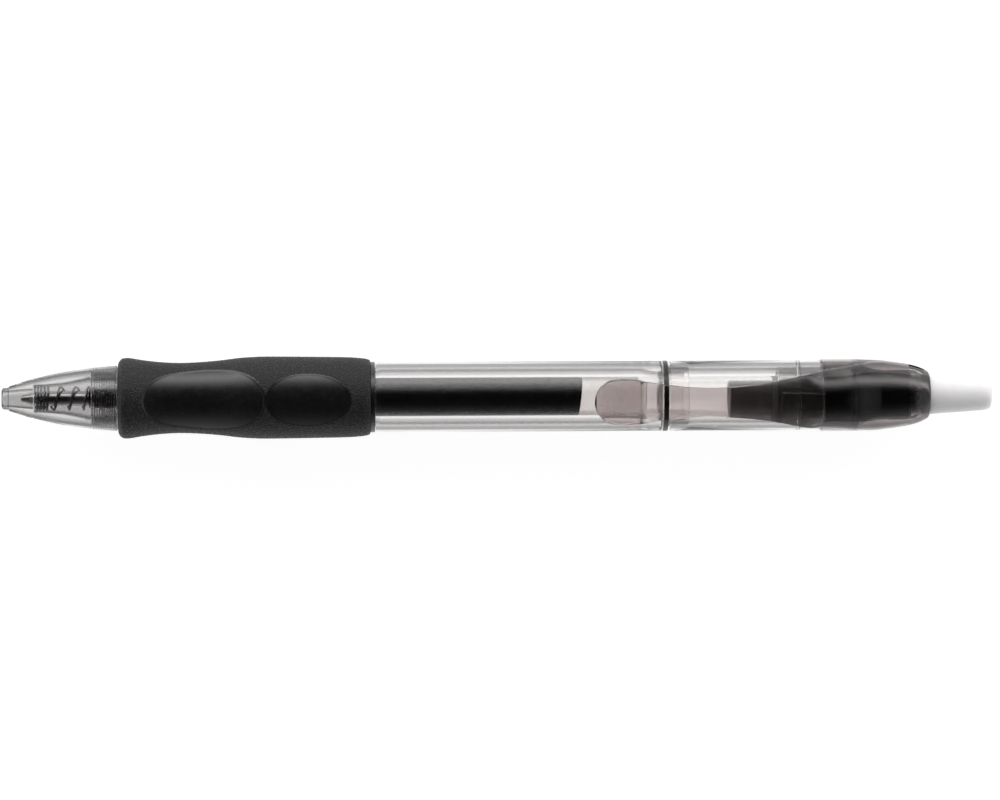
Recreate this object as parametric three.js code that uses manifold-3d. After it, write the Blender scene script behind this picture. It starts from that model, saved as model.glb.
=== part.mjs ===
// A retractable gel pen, in millimetres. The pen lies along X with its writing end at -X, its button
// at +X and its clip upwards. The origin is under the pen's middle, on the surface that it lies on.
import * as THREE from 'three';
import Module from 'manifold-3d';
import { mergeVertices } from 'three/addons/utils/BufferGeometryUtils.js';

const wasm = await Module();
wasm.setup();

// ---------------------------------------------------------------- driving dimensions
// Stations run along the pen's axis, from the front of the nose.
const LENGTH = 146.0; // overall, with the tip in
const SIDES = 32; // facets round the axis
const FIT = 0.05; // radial or end clearance between fitted pieces
const RUN = 0.3; // clearance of a cut or turning piece

const BARREL_R = 5.16; // both barrels, outside
const BORE_R = 4.3; // both barrels, inside
const GRIP_R = 6.12; // thickest part of the grip
const GRIP_CORE_R = 4.4; // front barrel under the grip
const GUIDE_R = 3.5; // front barrel's bore under the grip

const NOSE_END = 13.3; // nose cone meets the ribbed collar
const NOSE_HOLE_R = 1.25;
const SEAT = 4.85; // spring seat in the nose
const THREAD_R = 4.05; // nose spigot, outside
const COLLAR_END = 17.0; // ribbed collar meets the grip
const GRIP_END = 54.9;
const RING_START = 97.4;
const RING_END = 98.3;
const SPIGOT_R = 4.5; // front barrel's rear spigot
const SPIGOT_END = 101.0;
const CAP_START = 120.7;
const CAP_END = 136.7;
const NECK_R = 4.7; // rear barrel's neck inside the cap
const NECK_END = 124.8;
const BUTTON_HOLE_R = 3.0;

const TIP_POINT = 3.0; // writing point, with the tip in
const BALL_R = 0.35;
const ROD_R = 1.12; // steel tip's rod
const SPRING_R = 1.675; // mean radius of the coils
const WIRE_R = 0.175;
const SPRING_END = 20.0;
const TUBE_R = 2.85;
const TUBE_BORE_R = 2.25;
const TUBE_END = 113.5;
const INK_END = 85.3;
const FOLLOWER_END = 93.9;
const PLUG_START = 107.3;

const SLEEVE_START = 114.3; // cam sleeve
const SLEEVE_END = 126.0;
const SLEEVE_R = 4.2;
const SLEEVE_BORE_R = 3.6;
const RIB_R = 2.9; // inner edge of the sleeve's ribs
const RIB_START = 115.0;
const KEY_R = 3.45; // outer edge of the rotor's and plunger's keys
const KEY_WIDTH = 1.0;
const KEYS = 4;
const TEETH = 8;
const TOOTH_HEIGHT = 0.8;
const ROTOR_START = 114.4;
const ROTOR_END = 121.3; // tips of the rotor's teeth
const ROTOR_R = 2.6;
const PLUNGER_START = 121.5; // tips of the plunger's teeth
const PLUNGER_R = 2.75;
const PIN_R = 1.1; // rotor's pin in the plunger
const SKIRT_START = 132.4; // button's skirt, which stops against the cap's rear wall
const STEM_R = 1.95; // plunger's stem, pressed into the button

const CLIP_TIP = 87.3;
const CLIP_END = 127.2;
const CLIP_TOP = 7.45; // highest line of the clip, above the axis
const SPOON_HALF = 3.24; // half width of the clip's spoon, neck and root
const NECK_HALF = 2.1;
const ROOT_HALF = 4.3;
const ARM_Z = 6.3; // underside of the arm, above the axis
const PAD_Z = 5.3; // underside of the pad
const PAD_END = 94.1;

// ---------------------------------------------------------------- materials
const plastic = (color, opacity = 1, roughness = 0.15) =>
  new THREE.MeshStandardMaterial({ color, roughness, opacity, transparent: opacity < 1 });
const clear = () => plastic(0xf0f2f4, 0.3, 0.05);
const smoke = () => plastic(0x4a4446, 0.6, 0.08);
const black = () => plastic(0x141414, 1, 0.35);
const rubber = () => plastic(0x1c1c1d, 1, 0.75);
const steel = () => new THREE.MeshStandardMaterial({ color: 0xc4c6c9, roughness: 0.25, metalness: 1 });

// ---------------------------------------------------------------- shape helpers
const pen = new THREE.Group();
pen.position.set(-LENGTH / 2, 0, GRIP_R * Math.cos(Math.PI / SIDES));

function add(name, geometry, material) {
  const mesh = new THREE.Mesh(geometry, material);
  mesh.name = name;
  pen.add(mesh);
}

// Twice the signed area inside a closed outline: positive when it runs anticlockwise.
const turning = (points) =>
  points.reduce((sum, [x, y], i) => {
    const [nextX, nextY] = points[(i + 1) % points.length];
    return sum + x * nextY - nextX * y;
  }, 0);

// A solid of revolution about the pen's axis from [station, radius] points, outside then inside.
// An outline that leaves the axis closes on itself, as a ring. A facet lies flat underneath.
function turned(outline) {
  const points = turning(outline) > 0 ? [...outline].reverse() : [...outline];
  const solid = points.some(([, radius]) => radius === 0);
  if (solid) {
    const onAxis = points.findIndex(([, r], i) => r === 0 && points.at(i - 1)[1] === 0);
    points.push(...points.splice(0, onAxis));
  } else {
    points.push(points[0]);
  }
  const profile = points.map(([station, radius]) => new THREE.Vector2(radius, station));
  const lathe = new THREE.LatheGeometry(profile, SIDES, Math.PI / SIDES);
  return lathe.rotateZ(-Math.PI / 2);
}

function toSolid(geometry) {
  const bare = geometry.clone();
  bare.deleteAttribute('normal');
  bare.deleteAttribute('uv');
  const merged = mergeVertices(bare, 1e-4);
  const corners = merged.index.array;
  const faces = [];
  for (let i = 0; i < corners.length; i += 3) {
    const [a, b, c] = corners.slice(i, i + 3);
    if (a !== b && b !== c && c !== a) faces.push(a, b, c);
  }
  const vertProperties = new Float32Array(merged.attributes.position.array);
  return new wasm.Manifold(new wasm.Mesh({ numProp: 3, vertProperties, triVerts: new Uint32Array(faces) }));
}

function toGeometry(solid) {
  const mesh = solid.getMesh();
  const geometry = new THREE.BufferGeometry();
  geometry.setAttribute('position', new THREE.BufferAttribute(mesh.vertProperties, 3));
  geometry.setIndex(new THREE.BufferAttribute(mesh.triVerts, 1));
  geometry.computeVertexNormals();
  return geometry;
}

const joined = (base, pieces) => pieces.reduce((solid, piece) => solid.add(toSolid(piece)), base);
const cut = (base, pieces) => pieces.reduce((solid, piece) => solid.subtract(toSolid(piece)), base);

// Straight keys from one radius to another, spaced evenly round the axis from a first angle.
function keys(start, end, innerR, outerR, firstAngle) {
  return Array.from({ length: KEYS }, (_, i) =>
    new THREE.BoxGeometry(end - start, KEY_WIDTH, outerR - innerR)
      .translate((start + end) / 2, 0, (innerR + outerR) / 2)
      .rotateX(firstAngle + (i * 2 * Math.PI) / KEYS),
  );
}

// V-shaped notches that leave a ring of teeth on the end face at a station. The teeth point
// along direction, +1 towards the button and -1 towards the nose.
function notches(tipStation, direction, innerR, outerR, firstAngle) {
  const halfPitch = (outerR * Math.PI) / TEETH;
  const proud = 0.2; // the notch passes the face by this share of the tooth
  const mouth = tipStation + direction * TOOTH_HEIGHT * proud;
  const root = tipStation - direction * TOOTH_HEIGHT;
  const outline = new THREE.Shape([
    new THREE.Vector2(root, 0),
    new THREE.Vector2(mouth, -halfPitch * (1 + proud)),
    new THREE.Vector2(mouth, halfPitch * (1 + proud)),
  ]);
  return Array.from({ length: TEETH }, (_, i) =>
    new THREE.ExtrudeGeometry(outline, { depth: outerR + 1 - innerR, bevelEnabled: false })
      .translate(0, 0, innerR)
      .rotateX(firstAngle + (i * 2 * Math.PI) / TEETH),
  );
}

// ---------------------------------------------------------------- barrel and its fittings
function noseCone() {
  const outside = [
    [0, 1.4], [0.22, 1.62], [1.1, 1.92], [2.6, 2.36], [4.05, 2.8], [5.5, 3.1], [7.9, 3.69],
    [10.2, 4.05], [NOSE_END, 4.5],
  ];
  const spigot = [[NOSE_END, THREAD_R], [COLLAR_END - 0.2, THREAD_R]];
  const inside = [
    [COLLAR_END - 0.2, 3.3], [12.8, 3.3], [9.0, 2.35], [SEAT, 2.15], [SEAT, 1.6],
    [1.1, NOSE_HOLE_R], [0, NOSE_HOLE_R],
  ];
  return turned([...outside, ...spigot, ...inside]);
}

function collarRibs() {
  const count = 8;
  const frontR = 4.57;
  const growth = 0.29;
  const depth = 0.1;
  const start = NOSE_END + FIT;
  const pitch = (COLLAR_END - start) / count;
  const ribs = [];
  for (let i = 0; i < count; i += 1) {
    const radius = frontR + (growth * i) / count;
    ribs.push([start + i * pitch, radius - depth], [start + (i + 0.5) * pitch, radius]);
  }
  return ribs;
}

function frontBarrel() {
  const start = NOSE_END + FIT;
  return turned([
    ...collarRibs(),
    [COLLAR_END, GRIP_CORE_R + 0.3], [COLLAR_END + 0.1, GRIP_CORE_R], [GRIP_END + FIT, GRIP_CORE_R],
    [GRIP_END + FIT, BARREL_R - 0.1], [GRIP_END + 0.4, BARREL_R], [RING_START, BARREL_R],
    [RING_START, SPIGOT_R], [SPIGOT_END, SPIGOT_R],
    [SPIGOT_END, 3.85], [RING_START - 1, 3.85], [RING_START - 3, BORE_R], [GRIP_END + 3, BORE_R],
    [GRIP_END + 1, GUIDE_R], [COLLAR_END + 0.1, GUIDE_R],
    [COLLAR_END + 0.1, THREAD_R + FIT], [start, THREAD_R + FIT],
  ]);
}

function gripSleeve() {
  const boreR = GRIP_CORE_R + FIT;
  const start = COLLAR_END + 0.1 + FIT;
  return turned([
    [start, 4.95], [17.35, 5.5], [17.9, 5.9], [18.8, 5.9], [21.0, 5.55], [23.6, 5.26],
    [26.2, 5.16], [29.0, 5.26], [32.1, 5.5], [35.0, 5.9], [37.5, 6.08], [39.4, GRIP_R],
    [43.9, 6.04], [50.5, 5.9], [53.3, 5.7], [54.2, 5.45], [54.25, BARREL_R + 0.04],
    [GRIP_END, BARREL_R + 0.04], [GRIP_END, boreR], [start, boreR],
  ]);
}

const accentRing = () =>
  turned([
    [RING_START + FIT, 5.16], [RING_START + 0.2, 5.23], [RING_END - 0.2, 5.23], [RING_END, 5.16],
    [RING_END, SPIGOT_R + FIT], [RING_START + FIT, SPIGOT_R + FIT],
  ]);

const rearBarrel = () =>
  turned([
    [RING_END + FIT, BARREL_R], [CAP_START - FIT, BARREL_R], [CAP_START - FIT, NECK_R],
    [NECK_END, NECK_R], [NECK_END, BORE_R], [SPIGOT_END + 1, BORE_R],
    [SPIGOT_END + 0.3, SPIGOT_R + FIT], [RING_END + FIT, SPIGOT_R + FIT],
  ]);

function endCap() {
  const counterboreR = NECK_R + FIT;
  const shoulder = NECK_END + 0.6;
  const shell = turned([
    [CAP_START, 5.3], [125.0, 5.3], [127.1, 5.23], [129.3, 5.16], [130.8, 4.94], [132.3, 4.72],
    [133.8, 4.5], [135.2, 4.05], [136.2, 3.6], [CAP_END, 3.2], [CAP_END, BUTTON_HOLE_R],
    [135.0, BUTTON_HOLE_R], [134.2, 3.6], [131.5, 4.1], [shoulder, 4.25],
    [shoulder, counterboreR], [CAP_START, counterboreR],
  ]);
  const window = { start: 133.6, length: 2.2, height: 2.0 };
  const windows = new THREE.BoxGeometry(window.length, 4 * GRIP_R, window.height).translate(
    window.start + window.length / 2, 0, 0,
  );
  const sideOnly = new THREE.BoxGeometry(window.length + 1, 2 * 3.3, window.height + 1).translate(
    window.start + window.length / 2, 0, 0,
  );
  return toGeometry(toSolid(shell).subtract(cut(toSolid(windows), [sideOnly])));
}

function camSleeve() {
  const flangeStart = NECK_END + FIT;
  const tube = turned([
    [SLEEVE_START, SLEEVE_R], [flangeStart, SLEEVE_R], [flangeStart, NECK_R - FIT],
    [NECK_END + 0.5, NECK_R - FIT], [NECK_END + 0.5, SLEEVE_R - FIT], [SLEEVE_END, SLEEVE_R - FIT],
    [SLEEVE_END, SLEEVE_BORE_R], [SLEEVE_START, SLEEVE_BORE_R],
  ]);
  const ribs = keys(RIB_START, SLEEVE_END, RIB_R, SLEEVE_BORE_R + 0.2, 0);
  return toGeometry(joined(toSolid(tube), ribs));
}

// ---------------------------------------------------------------- clip
// The plan view and the side view are each extruded, and the clip is what they share, hollowed
// underneath so that its root sits over the cap.
function springClip() {
  const spoon = CLIP_TIP + 4.6; // widest station of the spoon
  const neck = 104.5; // narrowest station
  const root = 122.0; // full width from here on
  const plan = new THREE.Shape();
  plan.moveTo(CLIP_TIP, 0);
  plan.bezierCurveTo(CLIP_TIP, 2.2, CLIP_TIP + 2.2, SPOON_HALF, spoon, SPOON_HALF);
  plan.bezierCurveTo(97, 3.2, 99, NECK_HALF, neck, NECK_HALF);
  plan.bezierCurveTo(110, NECK_HALF, 115, 3.7, root, ROOT_HALF);
  plan.lineTo(CLIP_END, ROOT_HALF);
  plan.lineTo(CLIP_END, -ROOT_HALF);
  plan.lineTo(root, -ROOT_HALF);
  plan.bezierCurveTo(115, -3.7, 110, -NECK_HALF, neck, -NECK_HALF);
  plan.bezierCurveTo(99, -NECK_HALF, 97, -3.2, spoon, -SPOON_HALF);
  plan.bezierCurveTo(CLIP_TIP + 2.2, -SPOON_HALF, CLIP_TIP, -2.2, CLIP_TIP, 0);

  const wingZ = 2.0; // lower edge of the wings beside the cap
  const side = new THREE.Shape(
    [
      [CLIP_TIP - 1, ARM_Z], [CLIP_TIP + 1.6, PAD_Z], [PAD_END - 0.8, PAD_Z], [PAD_END, PAD_Z + 0.6],
      [PAD_END, ARM_Z], [116.5, ARM_Z + 0.05], [119.5, 5.9], [CAP_START, wingZ], [CLIP_END, wingZ],
      [CLIP_END, 5.75], [125.4, 6.35], [122.5, 7.0], [118.5, 7.4], [104, CLIP_TOP], [92, 7.35],
      [CLIP_TIP - 1, 7.0],
    ].map(([station, height]) => new THREE.Vector2(station, height)),
  );

  const planSolid = new THREE.ExtrudeGeometry(plan, {
    depth: CLIP_TOP + 1, bevelEnabled: false, curveSegments: 5,
  });
  const width = 2 * ROOT_HALF + 2;
  const sideSolid = new THREE.ExtrudeGeometry(side, { depth: width, bevelEnabled: false });
  sideSolid.translate(0, 0, -width / 2).rotateX(Math.PI / 2);

  const roomR = 5.3 + RUN; // the cap's radius and a gap
  const roomStart = CAP_START - 4;
  const capRoom = turned([
    [roomStart, 0], [roomStart, roomR], [CLIP_END + 1, roomR], [CLIP_END + 1, 0],
  ]);
  return toGeometry(toSolid(planSolid).intersect(toSolid(sideSolid)).subtract(toSolid(capRoom)));
}

// ---------------------------------------------------------------- button and cam
const pushButton = () =>
  turned([
    [SKIRT_START, 3.5], [133.8, 3.5], [133.8, 2.92], [CAP_END, 2.9], [144.6, 2.35], [145.5, 2.05],
    [LENGTH, 1.4], [LENGTH, 0], [141.0, 0], [141.0, STEM_R + FIT], [SKIRT_START, STEM_R + FIT],
  ]);

function pushCam() {
  const bore = 126.0;
  const core = turned([
    [PLUNGER_START, PLUNGER_R], [SKIRT_START - FIT, PLUNGER_R], [SKIRT_START - FIT, STEM_R],
    [140.6, STEM_R], [140.6, 0],
    [bore, 0], [bore, PIN_R + 0.15], [PLUNGER_START, PIN_R + 0.15],
  ]);
  const guides = keys(PLUNGER_START + 1, 130.5, ROTOR_R - 0.3, KEY_R, Math.PI / KEYS);
  const teeth = notches(PLUNGER_START, -1, 0.5, PLUNGER_R, 0);
  return toGeometry(cut(joined(toSolid(core), guides), teeth));
}

function camRotor() {
  const teethRoot = ROTOR_END - TOOTH_HEIGHT;
  const body = turned([
    [ROTOR_START, 2.0], [ROTOR_START + 0.6, ROTOR_R], [ROTOR_END, ROTOR_R], [ROTOR_END, PIN_R + 0.4],
    [teethRoot, PIN_R + 0.4], [teethRoot, 0], [ROTOR_START, 0],
  ]);
  const lugs = keys(teethRoot - 3, teethRoot, ROTOR_R - 0.3, KEY_R, Math.PI / KEYS);
  const teeth = notches(ROTOR_END, 1, PIN_R + 0.2, ROTOR_R, 0);
  const pin = turned([[teethRoot - 1, PIN_R], [125.0, PIN_R], [125.4, 0.7], [125.4, 0], [teethRoot - 1, 0]]);
  return toGeometry(cut(joined(toSolid(body), lugs), teeth).add(toSolid(pin)));
}

// ---------------------------------------------------------------- refill and spring
const ballCentre = TIP_POINT + BALL_R;

const tipBall = () =>
  new THREE.SphereGeometry(BALL_R, 16, 10).rotateZ(-Math.PI / 2).translate(ballCentre, 0, 0);

// The steel tip is hollow from the ball's socket to its tail, and its lip turns in over the ball.
function writingTip() {
  const socketR = BALL_R + 0.03;
  const channelR = 0.2;
  return turned([
    [ballCentre - 0.12, BALL_R + 0.07], [4.9, 0.74], [5.5, ROD_R], [12.9, ROD_R], [12.9, 0.8],
    [17.0, 0.8], [17.0, 0.45], [ballCentre + 1.2, 0.45], [ballCentre + 0.9, channelR],
    [ballCentre + 0.45, channelR], [ballCentre + 0.25, socketR], [ballCentre - 0.12, socketR],
  ]);
}

const tipAdapter = () =>
  turned([
    [12.9 + FIT, 1.2], [13.3, 1.4], [SPRING_END + FIT, 1.4], [SPRING_END + FIT, 1.95],
    [21.0, TUBE_R], [22.0, TUBE_R], [22.0, TUBE_BORE_R - FIT], [26.0, TUBE_BORE_R - FIT],
    [26.0, 1.0], [17.0, 0.8 + FIT], [12.9 + FIT, 0.8 + FIT],
  ]);

const refillTube = () =>
  turned([
    [22.0 + FIT, TUBE_R], [TUBE_END, TUBE_R], [TUBE_END, TUBE_BORE_R], [22.0 + FIT, TUBE_BORE_R],
  ]);

const fluid = (start, end) =>
  turned([[start, TUBE_BORE_R - FIT], [end, TUBE_BORE_R - FIT], [end, 0], [start, 0]]);

// The plug has a vent along its axis.
const tailPlug = () =>
  turned([
    [PLUG_START, TUBE_BORE_R - 0.15], [PLUG_START + 0.5, TUBE_BORE_R - FIT],
    [TUBE_END + FIT, TUBE_BORE_R - FIT], [TUBE_END + FIT, TUBE_R], [TUBE_END + 0.8, TUBE_R],
    [TUBE_END + 0.8, 0.4], [PLUG_START, 0.4],
  ]);

// A coil's centreline, from a few close turns through open ones to close turns again.
class Coil extends THREE.Curve {
  constructor() {
    super();
    this.closeFront = 5;
    this.closeRear = 2;
    this.closePitch = 2 * WIRE_R + 0.06;
    this.openTurns = 6;
    this.turns = this.closeFront + this.openTurns + this.closeRear;
    this.start = SEAT + FIT + WIRE_R;
    const length = SPRING_END - FIT - WIRE_R - this.start;
    const close = (this.closeFront + this.closeRear) * this.closePitch;
    this.openPitch = (length - close) / this.openTurns;
  }

  station(turn) {
    const front = Math.min(turn, this.closeFront);
    const open = Math.min(Math.max(turn - this.closeFront, 0), this.openTurns);
    const rear = Math.max(turn - this.closeFront - this.openTurns, 0);
    return this.start + (front + rear) * this.closePitch + open * this.openPitch;
  }

  getPoint(t, target = new THREE.Vector3()) {
    const turn = t * this.turns;
    const angle = turn * 2 * Math.PI;
    return target.set(this.station(turn), SPRING_R * Math.cos(angle), SPRING_R * Math.sin(angle));
  }

  // Stations are even in turns, so the wire's steps are too.
  getPointAt(t, target) {
    return this.getPoint(t, target);
  }

  getTangentAt(t, target) {
    return this.getTangent(t, target);
  }
}

function returnSpring() {
  const coil = new Coil();
  const wire = new THREE.Shape(
    Array.from({ length: 6 }, (_, i) => {
      const angle = (i * Math.PI) / 3;
      return new THREE.Vector2(WIRE_R * Math.cos(angle), WIRE_R * Math.sin(angle));
    }),
  );
  const stepsPerTurn = 12;
  return new THREE.ExtrudeGeometry(wire, { steps: coil.turns * stepsPerTurn, extrudePath: coil });
}

// ---------------------------------------------------------------- the pen
add('nose_cone', noseCone(), clear());
add('front_barrel', frontBarrel(), clear());
add('grip_sleeve', gripSleeve(), rubber());
add('accent_ring', accentRing(), black());
add('rear_barrel', rearBarrel(), clear());
add('end_cap', endCap(), smoke());
add('cam_sleeve', camSleeve(), smoke());
add('clip', springClip(), smoke());
add('push_button', pushButton(), plastic(0xeef0f0, 1, 0.4));
add('push_cam', pushCam(), black());
add('rotor', camRotor(), black());
add('return_spring', returnSpring(), steel());
add('tip_ball', tipBall(), steel());
add('writing_tip', writingTip(), steel());
add('tip_adapter', tipAdapter(), black());
add('refill_tube', refillTube(), clear());
add('ink_column', fluid(26.0 + FIT, INK_END), black());
add('ink_follower', fluid(INK_END + FIT, FOLLOWER_END), plastic(0xdedccf, 0.8, 0.3));
add('tail_plug', tailPlug(), black());

export default pen;
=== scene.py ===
import math

import bmesh
import bpy
import numpy as np
from mathutils import Matrix, Vector


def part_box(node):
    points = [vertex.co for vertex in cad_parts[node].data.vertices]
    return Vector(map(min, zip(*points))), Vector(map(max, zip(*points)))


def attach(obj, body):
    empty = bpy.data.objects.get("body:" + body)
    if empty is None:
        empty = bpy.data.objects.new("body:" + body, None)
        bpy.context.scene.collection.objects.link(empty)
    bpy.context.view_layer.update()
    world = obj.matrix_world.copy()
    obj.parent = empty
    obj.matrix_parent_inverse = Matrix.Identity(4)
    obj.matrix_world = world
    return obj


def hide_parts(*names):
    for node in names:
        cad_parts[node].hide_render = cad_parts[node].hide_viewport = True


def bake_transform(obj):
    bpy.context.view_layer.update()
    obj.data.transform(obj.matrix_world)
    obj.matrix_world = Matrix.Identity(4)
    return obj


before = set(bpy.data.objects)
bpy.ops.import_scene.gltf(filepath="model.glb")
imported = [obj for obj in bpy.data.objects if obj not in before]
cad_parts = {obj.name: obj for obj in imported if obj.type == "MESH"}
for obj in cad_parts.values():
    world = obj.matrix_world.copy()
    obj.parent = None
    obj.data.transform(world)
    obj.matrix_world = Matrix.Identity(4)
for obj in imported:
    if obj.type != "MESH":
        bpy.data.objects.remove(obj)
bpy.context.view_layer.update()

MM = 0.001
# Stations run along the pen from the front of the nose, and radii are about its axis, both in
# millimetres, as in the CAD source.
X0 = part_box("nose_cone")[0].x
AXIS_Z = sum(corner.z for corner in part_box("refill_tube")) / 2
SIDES = 128  # facets round a turned piece
TINY = 1e-6  # a length in millimetres that counts as nothing


def place(s, y, z):
    """The point at a station, with its offsets to the side and up from the axis."""
    return Vector((X0 + s * MM, y * MM, AXIS_Z + z * MM))


def station(point):
    return (point.x - X0) / MM


# ------------------------------------------------------------------ materials
def nodes_of(name):
    """A new material with its node tree and its shader."""
    mat = bpy.data.materials.new(name)
    mat.use_nodes = True
    tree = mat.node_tree
    return mat, tree, tree.nodes["Principled BSDF"]


def coordinates(tree, stretch=(1, 1, 1)):
    """Object coordinates in millimetres."""
    where = tree.nodes.new("ShaderNodeTexCoord")
    scale = tree.nodes.new("ShaderNodeMapping")
    scale.inputs["Scale"].default_value = [k / MM for k in stretch]
    tree.links.new(where.outputs["Object"], scale.inputs["Vector"])
    return scale.outputs["Vector"]


def noise(tree, vector, scale, detail=3.0):
    n = tree.nodes.new("ShaderNodeTexNoise")
    n.inputs["Scale"].default_value = scale
    n.inputs["Detail"].default_value = detail
    tree.links.new(vector, n.inputs["Vector"])
    return n.outputs["Fac"]


def cells(tree, vector, scale):
    """The distance to the nearest of many scattered points."""
    n = tree.nodes.new("ShaderNodeTexVoronoi")
    n.inputs["Scale"].default_value = scale
    tree.links.new(vector, n.inputs["Vector"])
    return n.outputs["Distance"]


def ranged(tree, value, low, high, start=0.3, end=0.7):
    """The value from start to end spread over low to high."""
    n = tree.nodes.new("ShaderNodeMapRange")
    for socket, number in (("From Min", start), ("From Max", end), ("To Min", low), ("To Max", high)):
        n.inputs[socket].default_value = number
    tree.links.new(value, n.inputs["Value"])
    return n.outputs["Result"]


def tinted(tree, value, first, second, start=0.3, end=0.7):
    """The value from start to end as a colour from first to second."""
    n = tree.nodes.new("ShaderNodeValToRGB")
    for element, position, color in zip(n.color_ramp.elements, (start, end), (first, second)):
        element.position, element.color = position, (*color, 1)
    tree.links.new(value, n.inputs["Fac"])
    return n.outputs["Color"]


def bumped(tree, height, distance, onto=None):
    """A bump in metres of height, on top of another bump if one is given."""
    n = tree.nodes.new("ShaderNodeBump")
    n.inputs["Distance"].default_value = distance
    tree.links.new(height, n.inputs["Height"])
    if onto is not None:
        tree.links.new(onto, n.inputs["Normal"])
    return n.outputs["Normal"]


def absorb(tree, color, density):
    """Colours the light by how far it goes through the plastic."""
    n = tree.nodes.new("ShaderNodeVolumeAbsorption")
    n.inputs["Color"].default_value = (*color, 1)
    n.inputs["Density"].default_value = density
    tree.links.new(n.outputs["Volume"], tree.nodes["Material Output"].inputs["Volume"])


# A painted shade on clear walls as they turn away from the eye: the glass's colour is darkened in
# bands near its edges, standing in for the dark surroundings seen in them. Each pair is how far the
# wall is turned away, from 0 to 1, and the share of the light that it passes.
PAINTED_EDGE_SHADE = ((0.27, 1.0), (0.40, 0.34), (0.50, 0.13), (0.62, 0.10), (0.68, 0.60), (0.85, 0.9), (1.0, 0.6))
PAINTED_EDGE_SHADE_HUE = (1, 0.992, 0.988)


# A painted shade: the glass's colour darkened by how far its wall turns away from the eye.
def painted_edge_shade_color(tree, strength):
    facing = tree.nodes.new("ShaderNodeLayerWeight")
    ramp = tree.nodes.new("ShaderNodeValToRGB")
    ramp.color_ramp.interpolation = "EASE"
    elements = ramp.color_ramp.elements
    while len(elements) < len(PAINTED_EDGE_SHADE):
        elements.new(0.5)
    for element, (position, level) in zip(elements, PAINTED_EDGE_SHADE):
        level = 1 - strength * (1 - level)
        element.position, element.color = position, (*(level * k for k in PAINTED_EDGE_SHADE_HUE), 1)
    tree.links.new(facing.outputs["Facing"], ramp.inputs["Fac"])
    return ramp.outputs["Color"]


def see_through(name, ior, rough, wave=0.002, edge=1.0, clear=0.985, mottle=0.015):
    """Moulded see-through plastic: faint flow waves, fine handling marks and a little haze, with a
    painted shade on the edges. The waves are in millimetres, edge is how strong the painted edge
    shade is, and clear how much the wall passes."""
    mat, tree, shader = nodes_of(name)
    shader.inputs["Transmission Weight"].default_value = 1.0
    shader.inputs["IOR"].default_value = ior
    along = coordinates(tree, (0.25, 1, 1))
    fine = coordinates(tree, (0.12, 3, 3))
    both = tree.nodes.new("ShaderNodeMix")
    both.data_type, both.blend_type = "RGBA", "MULTIPLY"
    both.inputs["Factor"].default_value = 1.0
    cloudy = [clear * (1 - k * mottle) for k in (1, 1.6, 1.5)]
    body = tinted(tree, noise(tree, along, 0.35), cloudy, (clear,) * 3)
    for value, socket in ((body, both.inputs[6]), (painted_edge_shade_color(tree, edge), both.inputs[7])):
        tree.links.new(value, socket)
    tree.links.new(both.outputs[2], shader.inputs["Base Color"])
    haze = ranged(tree, noise(tree, fine, 2.5, 4), rough * 0.5, rough * 1.6)
    tree.links.new(haze, shader.inputs["Roughness"])
    waves = bumped(tree, noise(tree, along, 0.5, 2), wave * MM)
    marks = bumped(tree, noise(tree, fine, 4, 2), 0.1 * wave * MM, onto=waves)
    tree.links.new(marks, shader.inputs["Normal"])
    return mat


def solid_plastic(
    name, dark, light, rough, grain, height, specular=0.5, subsurface=0.0, through=0.0
):
    """Moulded plastic with a spark-eroded grain and slightly uneven gloss. The grain is so many
    grains to the millimetre, with its height in millimetres."""
    mat, tree, shader = nodes_of(name)
    where = coordinates(tree)
    shader.inputs["Transmission Weight"].default_value = through
    shader.inputs["Specular IOR Level"].default_value = specular
    gloss = ranged(tree, noise(tree, where, 1.7, 5), rough * 0.8, rough * 1.25)
    skin = bumped(tree, noise(tree, where, grain, 4), height * MM)
    tree.links.new(tinted(tree, noise(tree, where, 0.8), dark, light), shader.inputs["Base Color"])
    tree.links.new(gloss, shader.inputs["Roughness"])
    tree.links.new(skin, shader.inputs["Normal"])
    if subsurface:
        shader.inputs["Subsurface Weight"].default_value = subsurface
        shader.inputs["Subsurface Radius"].default_value = (2.0, 2.0, 2.0)
        shader.inputs["Subsurface Scale"].default_value = MM
    return mat


def turned_steel(name, rough, shade=1.0):
    """Lathe-turned steel: fine rings round the axis and small colour changes."""
    mat, tree, shader = nodes_of(name)
    rings = coordinates(tree, (1, 0.05, 0.05))
    dark, light = [k * shade for k in (0.56, 0.55, 0.55)], [0.68 * shade] * 3
    color = tinted(tree, noise(tree, coordinates(tree), 1.5), dark, light)
    gloss = ranged(tree, noise(tree, rings, 9, 3), rough * 0.6, rough * 1.6)
    skin = bumped(tree, noise(tree, rings, 14, 3), 0.004 * MM)
    shader.inputs["Metallic"].default_value = 1.0
    for value, socket in ((color, "Base Color"), (gloss, "Roughness"), (skin, "Normal")):
        tree.links.new(value, shader.inputs[socket])
    return mat


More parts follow.
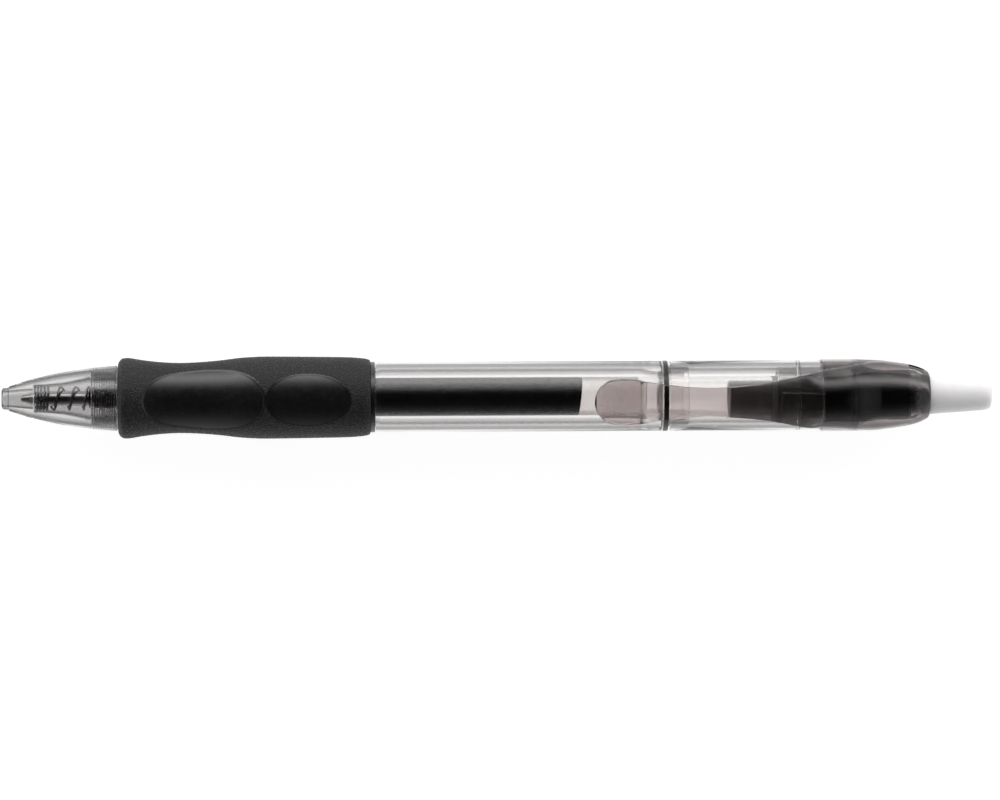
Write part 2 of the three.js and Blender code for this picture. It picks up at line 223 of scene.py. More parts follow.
def rubber(name, rough, pebble, specular=0.5):
    """Black rubber: a soft bloom, and where the skin is textured, shiny pebbles of so many
    millimetres of height, their tops painted lighter and the ground between them darker as painted
    glints and shade."""
    mat, tree, shader = nodes_of(name)
    where = coordinates(tree)
    shader.inputs["Specular IOR Level"].default_value = specular
    bloom = noise(tree, where, 0.5, 5)
    color = tinted(tree, bloom, (0.0035, 0.0031, 0.0033), (0.006, 0.0055, 0.0057))
    gloss = ranged(tree, noise(tree, where, 1.1, 5), rough * 0.85, rough * 1.15)
    skin = bumped(tree, noise(tree, where, 9, 3), 0.006 * MM)
    if pebble:
        tops = ranged(tree, cells(tree, where, 3.3), 1.0, 0.0, 0.0, 0.6)
        # Painted highlight and shade: the pebble tops are coloured lighter and the ground between
        # them darker.
        color = tinted(tree, tops, (0.002, 0.0018, 0.0019), (0.02, 0.0185, 0.019), 0.35, 0.95)
        gloss = ranged(tree, tops, rough * 1.4, rough * 0.6, 0.2, 0.9)
        skin = bumped(tree, tops, pebble * MM, onto=skin)
    for value, socket in ((color, "Base Color"), (gloss, "Roughness"), (skin, "Normal")):
        tree.links.new(value, shader.inputs[socket])
    return mat


# edge sets how strong each clear plastic's painted edge shade is.
CLEAR = see_through("clear_barrel_plastic", 1.52, 0.006, wave=0.001, clear=0.97)
NOSE = see_through("clear_nose_plastic", 1.52, 0.006, wave=0.001, edge=1.08, clear=0.64)
TUBE = see_through("clear_tube_plastic", 1.33, 0.1, wave=0.0004, edge=0.5, clear=0.99)
SLEEVE = see_through("clear_sleeve_plastic", 1.5, 0.06, edge=0.8, clear=0.8)
SMOKE = see_through("smoke_plastic", 1.52, 0.02, edge=1.06, mottle=0.08)
absorb(SMOKE.node_tree, (0.52, 0.45, 0.45), 570)
GRIP_TEXTURE = rubber("grip_rubber_textured", 0.46, 0.07)
GRIP_SMOOTH = rubber("grip_rubber_satin", 0.26, 0, specular=0.8)
BLACK = solid_plastic(
    "black_plastic", (0.003, 0.003, 0.003), (0.006, 0.0057, 0.0057),
    rough=0.28, grain=6, height=0.004,
)
# Painted shade: a dull black for the inside of the cap, darkening what lies there.
PAINTED_SHADE_LINER = solid_plastic(
    "painted_shade_black_plastic", (0.001, 0.001, 0.001), (0.002, 0.0019, 0.0019),
    rough=0.5, grain=6, height=0.002, specular=0.1,
)
PLUG_GREY = solid_plastic(
    "dark_grey_plastic", (0.18, 0.17, 0.172), (0.22, 0.21, 0.212),
    rough=0.35, grain=6, height=0.004,
)
FROSTED = solid_plastic(
    "frosted_white_plastic", (0.90, 0.88, 0.888), (0.94, 0.92, 0.928),
    rough=0.42, grain=7, height=0.006, subsurface=0.9,
)
STEEL = turned_steel("turned_steel", 0.09)
WIRE = turned_steel("spring_wire", 0.12, 0.35)
BALL = turned_steel("carbide_ball", 0.08)
INK = solid_plastic(
    "black_gel_ink", (0.001, 0.001, 0.0012), (0.0025, 0.0022, 0.0026),
    rough=0.3, grain=1.2, height=0.002, specular=0.05,
)
GREASE = solid_plastic(
    "pale_grease", (0.97, 0.95, 0.92), (1.0, 0.99, 0.97),
    rough=0.3, grain=0.6, height=0.002, through=1.0,
)


# ------------------------------------------------------------------ shape helpers
def curve(points, steps=5):
    """A smooth line through [station, radius] points."""
    p = np.array(points, float)
    ends = np.vstack([2 * p[0] - p[1], p, 2 * p[-1] - p[-2]])
    out = []
    for i in range(1, len(ends) - 2):
        a, b, c, d = ends[i - 1 : i + 3]
        for k in range(steps):
            t = k / steps
            bend = (2 * a - 5 * b + 4 * c - d) * t**2 + (3 * b - a - 3 * c + d) * t**3
            out.append(0.5 * (2 * b + (c - a) * t + bend))
    out.append(p[-1])
    return [tuple(q) for q in out]


def eased(outline, radius=0.08, steps=3, closed=True, least=25):
    """The outline with each corner of more than a few degrees turned into a small arc, and with
    guard points beside the arcs that keep the long faces' shading straight."""
    p = [np.array(q, float) for q in outline]
    out = []
    n = len(p)
    for i, corner in enumerate(p):
        if not closed and i in (0, n - 1):
            out.append(corner)
            continue
        before, after = p[i - 1] - corner, p[(i + 1) % n] - corner
        lb, la = np.linalg.norm(before), np.linalg.norm(after)
        if lb < TINY or la < TINY or corner[1] < TINY:
            out.append(corner)
            continue
        turn = math.pi - math.acos(np.clip(before @ after / (lb * la), -1, 1))
        if math.degrees(turn) < least:
            out.append(corner)
            continue
        cut = min(radius * math.tan(min(turn, 2.6) / 2), 0.42 * lb, 0.42 * la)
        start, end = corner + before * cut / lb, corner + after * cut / la
        guard = 0.6 * cut
        if lb > 4 * cut:
            out.append(start + before * guard / lb)
        for k in range(steps + 1):
            t = k / steps
            out.append((1 - t) ** 2 * start + 2 * t * (1 - t) * corner + t**2 * end)
        if la > 4 * cut:
            out.append(end + after * guard / la)
    return [tuple(q) for q in out]


def finished(name, mesh, mats, sharp=50):
    """An object in the scene with the mesh, shaded smooth up to the sharp angle in degrees."""
    bm = bmesh.new()
    bm.from_mesh(mesh)
    bmesh.ops.remove_doubles(bm, verts=bm.verts, dist=1e-8)
    bmesh.ops.recalc_face_normals(bm, faces=bm.faces)
    bm.to_mesh(mesh)
    bm.free()
    mesh.shade_smooth()
    mesh.set_sharp_from_angle(angle=math.radians(sharp))
    obj = bpy.data.objects.new(name, mesh)
    bpy.context.scene.collection.objects.link(obj)
    for mat in mats:
        mesh.materials.append(mat)
    return obj


def along_line(points):
    """How far along a line of points each of them is."""
    return np.concatenate([[0], np.cumsum(np.hypot(*np.diff(points, axis=0).T))])


def turned(name, outline, mat):
    """A solid of revolution about the pen's axis. An outline that stays off the axis closes on
    itself."""
    ring = all(r > TINY for _, r in outline)
    verts, faces, rows = [], [], []
    angles = [2 * math.pi * k / SIDES for k in range(SIDES)]
    for s, r in outline:
        if r <= TINY:
            rows.append([len(verts)] * SIDES)
            verts.append(place(s, 0, 0))
        else:
            rows.append(list(range(len(verts), len(verts) + SIDES)))
            verts.extend(place(s, r * math.sin(a), r * math.cos(a)) for a in angles)
    for i in range(len(rows) if ring else len(rows) - 1):
        a, b = rows[i], rows[(i + 1) % len(rows)]
        for k in range(SIDES):
            m = (k + 1) % SIDES
            loop = [a[k], a[m], b[m], b[k]]
            face = [v for j, v in enumerate(loop) if v not in loop[:j]]
            if len(face) > 2:
                faces.append(face)
    mesh = bpy.data.meshes.new(name)
    mesh.from_pydata(verts, [], faces)
    return finished(name, mesh, [mat])


def skinned(name, verts, count, mat):
    """A closed skin over rings of so many points, all in one list."""
    last = len(verts) - count
    faces = [
        [i + k, i + (k + 1) % count, i + count + (k + 1) % count, i + count + k]
        for i in range(0, last, count) for k in range(count)
    ]
    faces += [list(range(count)), list(range(last, last + count))]
    mesh = bpy.data.meshes.new(name)
    mesh.from_pydata(verts, [], faces)
    return finished(name, mesh, [mat])


def cut_or_join(obj, others, operation):
    """The object with the others cut from it or joined to it, which uses them up."""
    for other in others:
        step = obj.modifiers.new("boolean", "BOOLEAN")
        step.operation, step.object, step.solver = operation, other, "EXACT"
    graph = bpy.context.evaluated_depsgraph_get()
    mesh = bpy.data.meshes.new_from_object(obj.evaluated_get(graph))
    obj.modifiers.clear()
    obj.data = mesh
    for other in others:
        bpy.data.objects.remove(other)
    mesh.shade_smooth()
    mesh.set_sharp_from_angle(angle=math.radians(40))
    return obj


def block(name, s, y, z):
    """A closed box between two stations, two widths and two heights."""
    bm = bmesh.new()
    bmesh.ops.create_cube(bm, size=1)
    for v in bm.verts:
        v.co = place(*(low + (high - low) * (c + 0.5) for c, (low, high) in zip(v.co, (s, y, z))))
    mesh = bpy.data.meshes.new(name)
    bm.to_mesh(mesh)
    bm.free()
    return finished(name, mesh, [])


def two_tone(obj, second, edge):
    """Gives the faces behind a station the second material."""
    mesh = obj.data
    mesh.materials.append(second)
    for face in mesh.polygons:
        face.material_index = 0 if station(face.center) < edge else len(mesh.materials) - 1
    return obj


def show(obj, body, nodes):
    """Puts a piece on its body, if it has only one, in place of its CAD nodes."""
    if body:
        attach(obj, body)
    if nodes:
        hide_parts(*nodes)
    return obj


# ------------------------------------------------------------------ nose and barrels
NOSE_END = 13.3  # the nose cone meets the collar
SPIGOT_REAR = 16.8  # the rear end of the nose cone's spigot, inside the collar
COLLAR_START = 13.35
COLLAR_END = 17.0


def nose_cone():
    rim = [(0, 1.33), (0.25, 1.56), (1.02, 1.66), (1.12, 1.84)]
    cone = curve([
        (1.12, 1.84), (2.6, 2.32), (4.05, 2.78), (5.5, 3.12), (7.9, 3.68), (10.2, 4.08),
        (NOSE_END, 4.5),
    ], 6)
    cavity = curve([(12.7, 3.3), (11.0, 2.88), (9.0, 2.42), (7.0, 2.22), (4.85, 2.15)], 6)
    outline = (
        rim[:-1] + cone + [(NOSE_END, 4.05), (SPIGOT_REAR, 4.05), (SPIGOT_REAR, 3.3)]
        + cavity + [(4.85, 1.6), (1.1, 1.25), (0.3, 1.25)]
    )
    return turned("nose_shell", eased(outline, 0.07), NOSE)


def collar(count=10, depth=0.09):
    """The outline of the fine ribs, which rise with the pen's taper."""
    pitch = (COLLAR_END - COLLAR_START) / count
    ribs = []
    for i in range(count):
        r = 4.57 + 0.29 * i / count
        s = COLLAR_START + i * pitch
        ribs += [(s, r - depth), (s + 0.18 * pitch, r - 0.3 * depth), (s + 0.45 * pitch, r),
                 (s + 0.7 * pitch, r - 0.25 * depth)]
    return ribs


def front_barrel():
    seat = COLLAR_END + 0.1
    outline = collar() + [
        (COLLAR_END, 4.7), (seat, 4.4), (54.95, 4.4), (54.95, 5.06), (55.3, 5.16), (97.1, 5.16),
        (97.25, 5.05), (97.25, 4.5), (101.0, 4.5), (101.0, 3.85), (96.4, 3.85), (94.4, 4.3),
        (55.6, 4.3), (53.6, 3.5), (seat, 3.5), (seat, 4.1), (COLLAR_START, 4.1),
    ]
    return two_tone(turned("front_barrel_shell", eased(outline, 0.03), NOSE), CLEAR, seat)


def rear_barrel():
    outline = [
        (98.35, 5.16), (120.65, 5.16), (120.65, 4.7), (124.8, 4.7), (124.8, 4.3), (117.5, 4.3),
        (117.4, 4.38), (117.1, 4.38), (117.0, 4.3), (102.0, 4.3), (101.3, 4.55), (98.35, 4.55),
    ]
    return turned("rear_barrel_shell", eased(outline, 0.06), CLEAR)


def accent_ring():
    """The black ring, with pale inner faces that don't darken the barrel around it."""
    outline = [(97.3, 5.12), (97.42, 5.2), (97.9, 5.2), (98.02, 5.12), (98.02, 4.55), (97.3, 4.55)]
    ring = turned("black_ring", eased(outline, 0.05), BLACK)
    ring.data.materials.append(FROSTED)
    for face in ring.data.polygons:
        out = math.hypot(face.center.y, face.center.z - AXIS_Z)
        face.material_index = int(out < 5.0 * MM)
    return ring


# ------------------------------------------------------------------ grip
GRIP_SHAPE = [
    (17.15, 4.95), (17.3, 5.4), (17.75, 5.83), (18.3, 5.93), (18.9, 5.9), (21.0, 5.56), (23.6, 5.27),
    (26.2, 5.16), (29.0, 5.25), (32.1, 5.5), (35.0, 5.85), (37.5, 6.01), (39.4, 6.04), (43.9, 6.0),
    (50.5, 5.9), (53.0, 5.74), (53.8, 5.62), (54.15, 5.45), (54.22, 5.25),
]
# Smooth finger hollows: middle station, half length, half angle in degrees and depth.
HOLLOWS = [(29.7, 9.1, 56.0, 0.58), (45.0, 6.35, 40.0, 0.32)]
HOLLOW_TURN = -3.5  # degrees
GRIP_BORE = 4.45
GRIP_RADIUS = 6.0  # about, for the number of pebbles in a ring
PEBBLE_PITCH = 0.38
PEBBLE_REACH = 0.62  # a pebble's radius, in pitches
PEBBLE_HEIGHT = 0.06
FAR = 9.0  # further than any hollow or pebble


def hollow_distance(s, angle):
    """How far into the nearest hollow a point lies, under 1 inside and over 1 outside, and how
    deep that hollow is."""
    best = np.full(s.shape, FAR)
    depth = np.zeros_like(best)
    for side in (0.0, 180.0):
        off = (np.degrees(angle) + HOLLOW_TURN - side + 180.0) % 360.0 - 180.0
        for middle, half, half_angle, deep in HOLLOWS:
            e = np.sqrt(((s - middle) / half) ** 2 + (off / half_angle) ** 2)
            depth = np.where(e < best, deep, depth)
            best = np.minimum(best, e)
    return best, depth


def pebbles(s, angle, rng):
    """Small rounded bumps scattered evenly over the skin, as a height from 0 to 1."""
    rows = int((s.max() - s.min()) / PEBBLE_PITCH) + 2
    cols = int(2 * math.pi * GRIP_RADIUS / PEBBLE_PITCH)
    centres = rng.random((rows, cols, 2)) * 0.7 + 0.15
    u = (s - s.min()) / PEBBLE_PITCH
    v = (angle % (2 * math.pi)) / (2 * math.pi) * cols
    nearest = np.full(s.shape, FAR)
    for du in (-1, 0, 1):
        for dv in (-1, 0, 1):
            i = np.clip(np.floor(u).astype(int) + du, 0, rows - 1)
            j = (np.floor(v).astype(int) + dv) % cols
            cu = np.floor(u) + du + centres[i, j, 0]
            cv = np.floor(v) + dv + centres[i, j, 1]
            nearest = np.minimum(nearest, np.hypot(u - cu, v - cv))
    return np.clip(1 - nearest / PEBBLE_REACH, 0, 1) ** 0.8


def lathe_points(s, r, angle):
    """Points on rings about the pen's axis, in metres."""
    return np.stack([X0 + s * MM, r * np.sin(angle) * MM, AXIS_Z + r * np.cos(angle) * MM], -1)


def grip():
    """The rubber skin: pebbles of real height outside the smooth finger hollows."""
    length_steps, sides = 300, 328
    p = np.array(curve(GRIP_SHAPE, 8))
    run = along_line(p)
    at = np.linspace(0, run[-1], length_steps)
    s = np.interp(at, run, p[:, 0])[:, None]
    r = np.interp(at, run, p[:, 1])[:, None]
    turn = np.arange(sides) * 2 * math.pi / sides
    s, r, angle = np.broadcast_arrays(s, r, turn[None, :])
    e, deep = hollow_distance(s, angle)
    step = 0.12 * np.clip((1.0 - e) / 0.04, 0, 1)
    bowl = step + 0.88 * np.clip(1 - e**2, 0, 1)
    # The pebbles fade out towards the skin's two ends and the hollows' rims.
    ends = np.clip((s - 17.9) / 1.2, 0, 1) * np.clip((53.9 - s) / 0.8, 0, 1)
    rim = np.clip((e - 1.0) / 0.03, 0, 1)
    texture = pebbles(s, angle, np.random.default_rng(7)) * ends * rim
    radius = r - deep * bowl + PEBBLE_HEIGHT * (texture - 0.5 * (texture > 0))
    skin = lathe_points(s, radius, angle).reshape(-1, 3)
    # The bore's two end rings close the skin, from its rear end to its front end.
    bore = [lathe_points(np.full(sides, GRIP_SHAPE[k][0]), GRIP_BORE, turn) for k in (-1, 0)]
    verts = np.vstack([skin, *bore])
    i, j = np.meshgrid(np.arange(length_steps + 2), np.arange(sides), indexing="ij")
    k, below = (j + 1) % sides, (i + 1) % (length_steps + 2)
    faces = np.stack([i * sides + j, i * sides + k, below * sides + k, below * sides + j], -1)
    mesh = bpy.data.meshes.new("grip_skin")
    mesh.from_pydata(verts.tolist(), [], faces.reshape(-1, 4).tolist())
    obj = finished("grip_skin", mesh, [GRIP_TEXTURE, GRIP_SMOOTH], sharp=60)
    smooth_face = (e[:-1] < 1.0).reshape(-1)
    which = np.zeros(len(mesh.polygons), dtype=np.int32)
    which[: len(smooth_face)] = smooth_face
    mesh.polygons.foreach_set("material_index", which)
    return obj


def grip_lip():
    outline = [(54.25, 5.2), (54.88, 5.2), (54.88, 4.45), (54.25, 4.45)]
    return turned("grip_rear_lip", eased(outline, 0.05), GRIP_SMOOTH)


# ------------------------------------------------------------------ cap and clip
CAP_START = 120.7
CAP_REAR = 136.7
CAP_OUTSIDE = [
    (CAP_START, 5.3), (125.0, 5.3), (127.1, 5.24), (129.3, 5.14), (130.8, 4.97), (132.3, 4.76),
    (133.8, 4.5), (135.2, 4.12), (136.1, 3.72), (136.55, 3.4),
]
# Clip sections: station, half width, top, underside, drop of the top and of the underside from the
# middle to the edges, and how round the section is (0 flat crown, 1 arch).
CLIP = [
    (87.00, 0.10, 6.98, 6.25, 0.03, 0.0, 0.0),
    (87.05, 0.57, 7.02, 6.05, 0.06, 0.0, 0.0),
    (87.20, 1.12, 7.07, 5.82, 0.10, 0.0, 0.0),
    (87.50, 1.73, 7.13, 5.60, 0.14, 0.0, 0.0),
    (88.00, 2.33, 7.19, 5.43, 0.18, 0.0, 0.0),
    (88.60, 2.76, 7.24, 5.34, 0.21, 0.0, 0.0),
    (89.30, 3.07, 7.27, 5.32, 0.23, 0.0, 0.0),
    (90.30, 3.24, 7.32, 5.30, 0.25, 0.0, 0.0),
    (91.90, 3.26, 7.35, 5.30, 0.28, 0.0, 0.0),
    (93.10, 3.19, 7.37, 5.30, 0.28, 0.0, 0.0),
    (93.45, 3.16, 7.37, 5.42, 0.28, 0.0, 0.0),
    (94.15, 3.09, 7.38, 6.06, 0.28, 0.0, 0.0),
    (94.50, 3.04, 7.38, 6.30, 0.28, 0.0, 0.0),
    (94.90, 2.99, 7.39, 6.42, 0.28, 0.0, 0.0),
    (96.00, 2.83, 7.40, 6.42, 0.27, 0.0, 0.0),
    (98.00, 2.54, 7.42, 6.42, 0.26, 0.0, 0.0),
    (100.5, 2.27, 7.43, 6.42, 0.25, 0.0, 0.0),
    (102.8, 2.14, 7.44, 6.42, 0.25, 0.0, 0.0),
    (105.0, 2.12, 7.45, 6.42, 0.28, 0.0, 0.0),
    (107.5, 2.27, 7.45, 6.42, 0.38, 0.0, 0.05),
    (110.0, 2.48, 7.45, 6.42, 0.52, 0.0, 0.1),
    (112.5, 2.80, 7.45, 6.42, 0.70, 0.0, 0.2),
    (114.5, 3.18, 7.45, 6.30, 0.88, 0.0, 0.3),
    (116.5, 3.60, 7.45, 6.25, 1.00, 0.0, 0.4),
    (118.3, 3.93, 7.42, 6.20, 1.12, 0.05, 0.5),
    (119.5, 4.10, 7.36, 6.15, 1.90, 1.10, 0.7),
    (120.6, 4.26, 7.28, 6.15, 3.00, 2.85, 0.85),
]
# Where the clip sinks into the cap: station, half width, top, drop of the top from the middle to
# the edges, and how round the section is.
ROOT = [
    (120.62, 4.26, 7.28, 3.00, 0.85), (122.5, 4.48, 7.02, 3.55, 0.95), (124.2, 4.68, 6.66, 3.75, 1.0),
    (126.0, 4.90, 6.18, 3.90, 1.0), (127.4, 5.06, 5.74, 4.1, 1.0), (128.6, 5.10, 5.38, 4.25, 1.0),
    (129.6, 5.06, 5.10, 4.2, 1.0),
]


def section(half, top, under, drop, under_drop, arch, corner=0.12):
    """A closed ring of (y, z) points round one clip section, with eased edges."""
    def sag(u):
        """How far a face drops from its middle, 0, to its edges, 1."""
        round_part = (1 - np.sqrt(1 - 0.97 * u**2)) / (1 - math.sqrt(0.03))
        return (1 - arch) * u**2 + arch * round_part

    u = np.sin(np.linspace(-1, 1, 25) * math.pi / 2)
    corner = min(corner, 0.3 * half, 0.3 * (top - drop - under + under_drop))
    upper = [(half * k, top - drop * g) for k, g in zip(u, sag(u))]
    lower = [(half * k, under - under_drop * g) for k, g in zip(u[::-1], sag(u[::-1]))]
    return eased(upper + lower, corner, 3, least=40)


def resampled(ring, count):
    """So many points, evenly spaced round a closed ring."""
    p = np.array(ring + [ring[0]], float)
    run = along_line(p)
    at = np.linspace(0, run[-1], count, endpoint=False)
    return np.stack([np.interp(at, run, p[:, 0]), np.interp(at, run, p[:, 1])], -1)


def spread(table, steps):
    """Rows between the given ones, on smooth curves through each column, with fewer where rows
    are close."""
    rows = np.array(table, float)
    out = []
    for i in range(len(rows) - 1):
        gap = rows[i + 1, 0] - rows[i, 0]
        count = max(1, min(steps, int(gap / 0.35)))
        before = rows[i - 1] if i else rows[i]
        after = rows[i + 2] if i + 2 < len(rows) else rows[i + 1]
        slope_a = (rows[i + 1] - before) / max(rows[i + 1, 0] - before[0], TINY) * gap
        slope_b = (after - rows[i]) / max(after[0] - rows[i, 0], TINY) * gap
        for k in range(count):
            t = k / count
            h = (2 * t**3 - 3 * t**2 + 1, t**3 - 2 * t**2 + t, 3 * t**2 - 2 * t**3, t**3 - t**2)
            row = h[0] * rows[i] + h[1] * slope_a + h[2] * rows[i + 1] + h[3] * slope_b
            row[0] = rows[i, 0] + t * gap
            out.append(row)
    out.append(rows[-1])
    return out


def cap_and_clip():
    """The cap and the clip as one moulding, bored and with its two snap windows."""
    inside = [
        (CAP_REAR, 3.15), (CAP_REAR, 3.0), (135.8, 3.0), (134.9, 3.4), (134.2, 3.72), (132.2, 3.72),
        (127.9, 3.7), (126.3, 4.25), (125.4, 4.25), (125.4, 4.75), (CAP_START, 4.75),
    ]
    shell = turned("cap_and_clip", eased(curve(CAP_OUTSIDE, 4) + inside, 0.06), SMOKE)
    ring_points = 96
    rows = [tuple(row) for row in spread(CLIP, 6)]
    for s, half, top, drop, arch in spread(ROOT, 6):
        rows.append((s, half, top, top - drop - 0.35, drop, 0.0, arch))
    points = [place(s, y, z) for s, *row in rows for y, z in resampled(section(*row), ring_points)]
    arm = skinned("clip_arm", points, ring_points, SMOKE)
    room = [
        (120.5, 0), (120.5, 4.9), (125.0, 4.9), (125.4, 4.5), (126.2, 4.1), (131.5, 4.0), (131.5, 0)
    ]
    arm = cut_or_join(arm, [turned("clip_bore", room, SMOKE)], "DIFFERENCE")
    cut_or_join(shell, [arm], "UNION")
    sides = ((3.3, 6.0), (-6.0, -3.3))
    windows = [
        block(f"window_{i}", (133.6, 135.8), y, (-1.0, 1.0)) for i, y in enumerate(sides)
    ]
    return cut_or_join(shell, windows, "DIFFERENCE")


# ------------------------------------------------------------------ mechanism and button
def cam_sleeve():
    """The guide sleeve with its four ribs; behind them, inside the cap, the sleeve is painted dull
    black as a painted shade that hides the button.
    """
    outline = [
        (114.3, 4.2), (120.9, 4.2), (121.0, 4.2), (124.85, 4.2), (124.85, 4.65), (125.3, 4.65),
        (125.3, 4.15), (126.0, 4.15), (126.0, 3.68), (133.4, 3.68), (133.4, 3.57), (121.0, 3.6),
        (120.9, 3.6), (114.3, 3.6),
    ]
    tube = turned("guide_sleeve", eased(outline, 0.06), SLEEVE)
    to_axis = Matrix.Translation((0, 0, AXIS_Z))
    ribs = []
    for i in range(4):
        rib = block(f"rib_{i}", (115.0, 120.9), (-0.5, 0.5), (2.9, 3.8))
        rib.data.transform(to_axis @ Matrix.Rotation(i * math.pi / 2, 4, "X") @ to_axis.inverted())
        ribs.append(rib)
    # The sleeve's part inside the cap is painted dull black, a painted shade.
    return two_tone(cut_or_join(tube, ribs, "UNION"), PAINTED_SHADE_LINER, 120.95)


def push_button():
    skirt = [(132.4, 3.5), (133.8, 3.5), (133.8, 2.92)]
    taper = curve([
        (133.9, 2.92), (136.4, 2.9), (136.7, 2.9), (140.5, 2.66), (143.6, 2.44), (144.6, 2.35),
        (145.3, 2.2), (145.75, 1.95), (145.95, 1.5), (146.0, 0.9),
    ], 4)
    inside = [(146.0, 0), (133.9, 0), (133.9, 2.0), (132.4, 2.0)]
    outline = eased(skirt + taper, 0.1, closed=False) + inside
    # The button is painted black where it lies inside the cap, a painted shade; only the part out of
    # the cap is frosted white.
    return two_tone(turned("button_cap", outline, BLACK), FROSTED, 136.5)


# ------------------------------------------------------------------ refill and spring
def writing_tip():
    outline = [
        (3.23, 0.42), (3.45, 0.5), (4.75, 0.93), (4.95, 1.05), (5.2, 1.12), (12.9, 1.12), (12.9, 0.8),
        (17.0, 0.8), (17.0, 0.45), (4.55, 0.45), (4.25, 0.2), (3.8, 0.2), (3.6, 0.38), (3.23, 0.38),
    ]
    return turned("steel_tip", eased(outline, 0.04), STEEL)


def writing_ball():
    bm = bmesh.new()
    bmesh.ops.create_uvsphere(bm, u_segments=48, v_segments=24, radius=0.35 * MM)
    bmesh.ops.translate(bm, verts=bm.verts, vec=place(3.35, 0, 0))
    mesh = bpy.data.meshes.new("writing_ball")
    bm.to_mesh(mesh)
    bm.free()
    return finished("writing_ball", mesh, [BALL])


def tip_adapter():
    outline = [
        (12.95, 1.3), (13.2, 1.45), (20.05, 1.45), (20.05, 1.95), (21.0, 2.85), (22.0, 2.85),
        (22.0, 2.2), (26.0, 2.2), (26.0, 1.0), (17.0, 0.85), (12.95, 0.85),
    ]
    return turned("refill_adapter", eased(outline, 0.06), BLACK)


def refill_tube():
    outline = [(22.05, 2.85), (113.5, 2.85), (113.5, 2.25), (22.05, 2.25)]
    return turned("refill_tube_wall", eased(outline, 0.06), TUBE)


WETTED = 2.27  # the fillings' radius: just into the tube's wall, so that they wet it
MENISCUS = 85.3  # the ink ends and the grease begins


def filling(name, start, end, radius, mat, slope=0.11):
    """What fills the tube between two stations. The meniscus between the ink and the grease is
    tilted, as it settles in a tube lying down."""
    obj = turned(name, [(start, 0), (start, radius), (end, radius), (end, 0)], mat)
    for v in obj.data.vertices:
        if abs(station(v.co) - MENISCUS) < 1:
            v.co.x += slope * v.co.y
    return obj


def gel_ink():
    return filling("gel_ink", 26.05, MENISCUS, WETTED, INK)


def grease_plug():
    return filling("grease_plug", MENISCUS - 0.05, 93.9, WETTED - 0.01, GREASE)


def tail_plug():
    outline = [
        (107.3, 2.1), (107.45, 2.22), (113.55, 2.22), (113.55, 2.85), (114.3, 2.85), (114.3, 0.4),
        (107.3, 0.4),
    ]
    return turned("refill_plug", eased(outline, 0.06), PLUG_GREY)


def return_spring():
    """A wound wire with open coils in the middle and close ones at both ends."""
    wire, coil_r = 0.175, 1.675
    close_front, open_turns, close_rear = 4.2, 6.0, 2.0
    turns = close_front + open_turns + close_rear
    start, end = 4.9 + wire, 20.0 - wire - 0.05
    close_pitch = 0.48
    open_pitch = (end - start - (close_front + close_rear) * close_pitch) / open_turns
    ramp = 0.35  # turns over which the pitch changes
    per_turn, around = 40, 10
    count = int(turns * per_turn)

    def eased_ramp(v):
        v = np.clip(v / ramp, 0, 1)
        return v * v * (3 - 2 * v)

    grid = np.linspace(0, turns, 2001)
    opened = eased_ramp(grid - close_front)
    closed = eased_ramp(grid - close_front - open_turns + ramp)
    pitch = close_pitch + (open_pitch - close_pitch) * opened * (1 - closed)
    total = np.concatenate([[0], np.cumsum((pitch[1:] + pitch[:-1]) / 2 * np.diff(grid))])

    t = np.linspace(0, turns, count)
    along = start + np.interp(t, grid, total * (end - start) / total[-1])
    angle = t * 2 * math.pi + 0.6
    centre = np.stack([along, coil_r * np.sin(angle), coil_r * np.cos(angle)], -1)
    tangent = np.gradient(centre, axis=0)
    tangent /= np.linalg.norm(tangent, axis=1)[:, None]
    outward = np.stack([np.zeros(count), np.sin(angle), np.cos(angle)], -1)
    side = np.cross(tangent, outward)
    side /= np.linalg.norm(side, axis=1)[:, None]
    outward = np.cross(side, tangent)
    rings = []
    for k in range(count):
        for m in range(around):
            a = 2 * math.pi * m / around
            off = wire * (math.cos(a) * outward[k] + math.sin(a) * side[k])
            rings.append(place(*(centre[k] + off)))
    return skinned("spring_coil", rings, around, WIRE)


# ------------------------------------------------------------------ the pen
show(nose_cone(), "barrel", ["nose_cone"])
show(front_barrel(), "barrel", ["front_barrel"])
show(grip(), "barrel", ["grip_sleeve"])
show(grip_lip(), "barrel", [])
show(accent_ring(), "barrel", ["accent_ring"])
show(rear_barrel(), "barrel", ["rear_barrel"])
show(cam_sleeve(), "barrel", ["cam_sleeve"])
cap = show(cap_and_clip(), None, ["end_cap", "clip"])
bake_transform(cap)
show(push_button(), "button", ["push_button"])
show(writing_tip(), "refill", ["writing_tip"])
show(writing_ball(), "ball", ["tip_ball"])
show(tip_adapter(), "refill", ["tip_adapter"])
show(refill_tube(), "refill", ["refill_tube"])
show(gel_ink(), "refill", ["ink_column"])
show(grease_plug(), "refill", ["ink_follower"])
show(tail_plug(), "refill", ["tail_plug"])
spring = show(return_spring(), None, ["return_spring"])
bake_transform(spring)
for node in ("push_cam", "rotor"):
    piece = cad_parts[node]
    piece.data.materials.clear()
    piece.data.materials.append(PLUG_GREY)


# ------------------------------------------------------------------ studio
FLOOR_GLOW = 0.92
# The long soft lights beside the pen: the angle from straight up towards +Y and the half width,
# both in degrees, and the level.
LIGHTS = ((64.0, 18.0, 2.8), (-88.0, 34.0, 0.5))
OVERHEAD = 0.02
END_LEVEL = 0.7  # the light from beyond the pen's two ends
CAMERA_LEAN, CAMERA_TIP = 1.8, 8.5  # degrees from straight down, along and across the pen


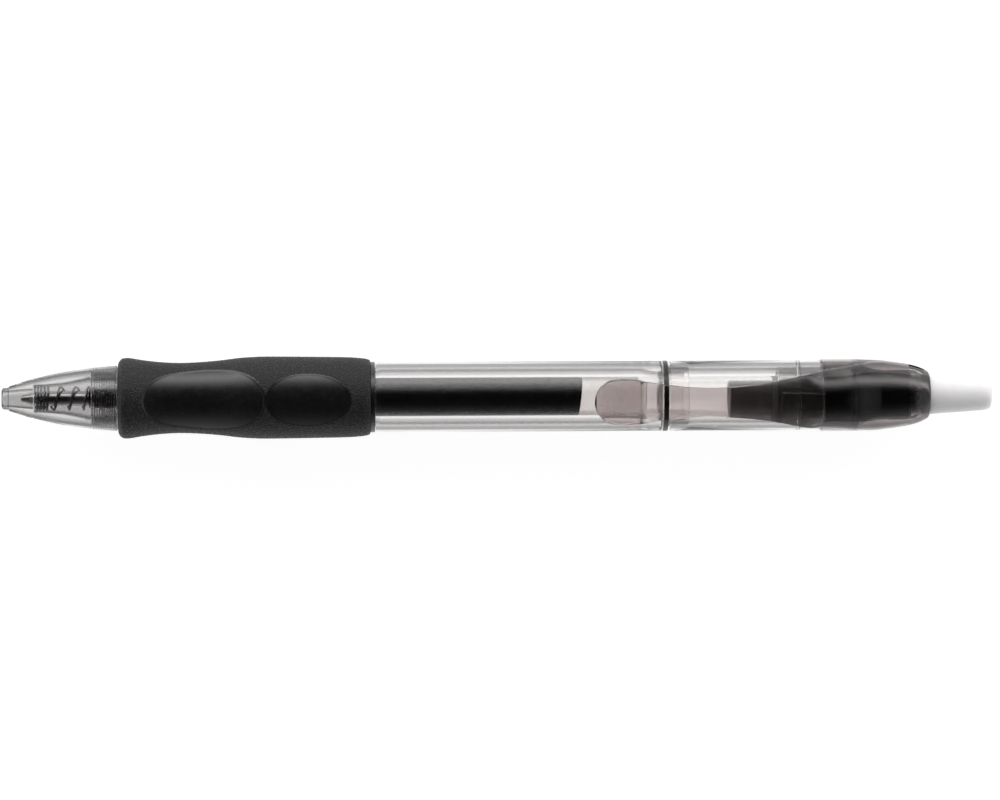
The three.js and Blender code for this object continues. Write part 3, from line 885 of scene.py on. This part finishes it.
def floor():
    mesh = bpy.data.meshes.new("studio_floor")
    half = 2.5
    corners = [(-half, -half, 0), (half, -half, 0), (half, half, 0), (-half, half, 0)]
    mesh.from_pydata(corners, [], [(0, 1, 2, 3)])
    obj = bpy.data.objects.new("studio_floor", mesh)
    bpy.context.scene.collection.objects.link(obj)
    mat, tree, shader = nodes_of("studio_floor_paper")
    cloud = noise(tree, coordinates(tree), 0.02)
    paper = tinted(tree, cloud, (0.28, 0.28, 0.28), (0.30, 0.30, 0.30))
    tree.links.new(paper, shader.inputs["Base Color"])
    shader.inputs["Roughness"].default_value = 0.9
    shader.inputs["Specular IOR Level"].default_value = 0.1
    shader.inputs["Emission Color"].default_value = (1, 1, 1, 1)
    shader.inputs["Emission Strength"].default_value = FLOOR_GLOW
    mesh.materials.append(mat)


def studio_world():
    """Long soft lights, a strong one on the +Y side and a weak one on the -Y side, and a dark
    space overhead."""
    world = bpy.data.worlds.new("studio")
    bpy.context.scene.world = world
    world.use_nodes = True
    tree = world.node_tree
    where = tree.nodes.new("ShaderNodeTexCoord")
    split = tree.nodes.new("ShaderNodeSeparateXYZ")
    tree.links.new(where.outputs["Generated"], split.inputs["Vector"])

    def maths(operation, a, b=None):
        n = tree.nodes.new("ShaderNodeMath")
        n.operation = operation
        for socket, value in zip(n.inputs, (a, b)):
            if isinstance(value, (int, float)):
                socket.default_value = value
            elif value is not None:
                tree.links.new(value, socket)
        return n.outputs["Value"]

    angle = maths("ARCTAN2", split.outputs["Y"], split.outputs["Z"])
    total = OVERHEAD
    for middle, width, level in LIGHTS:
        off = maths("DIVIDE", maths("SUBTRACT", angle, math.radians(middle)), math.radians(width))
        falling = maths("EXPONENT", maths("MULTIPLY", maths("MULTIPLY", off, off), -1.0))
        total = maths("ADD", maths("MULTIPLY", falling, level), total)
    ends = ranged(tree, maths("ABSOLUTE", split.outputs["X"]), 0.0, END_LEVEL, 0.5, 0.8)
    background = tree.nodes["Background"]
    background.inputs["Color"].default_value = (1, 1, 1, 1)
    tree.links.new(maths("ADD", total, ends), background.inputs["Strength"])


def camera():
    """Looks down on the pen from the photo's side, a little tipped."""
    image_mm, sensor_mm, distance = 147.4, 36.0, 0.93
    data = bpy.data.cameras.new("camera")
    data.sensor_width = sensor_mm
    data.lens = sensor_mm * distance / (image_mm * MM)
    data.clip_start, data.clip_end = 0.05, 20
    obj = bpy.data.objects.new("camera", data)
    bpy.context.scene.collection.objects.link(obj)
    target = place(73.33, -0.52, 0)
    lean, tip = math.tan(math.radians(CAMERA_LEAN)), math.tan(math.radians(CAMERA_TIP))
    back = Vector((-lean, tip, 1)).normalized()
    right = Vector((0, 1, 0)).cross(back).normalized()
    up = back.cross(right)
    turn = Matrix((right, up, back)).transposed().to_4x4()
    obj.matrix_world = Matrix.Translation(target + back * distance) @ turn
    bpy.context.scene.camera = obj


floor()
studio_world()
camera()
scene = bpy.context.scene
scene.view_settings.view_transform = "Standard"
scene.cycles.max_bounces = 32
scene.cycles.transmission_bounces = 32
scene.cycles.glossy_bounces = 16
scene.cycles.transparent_max_bounces = 16
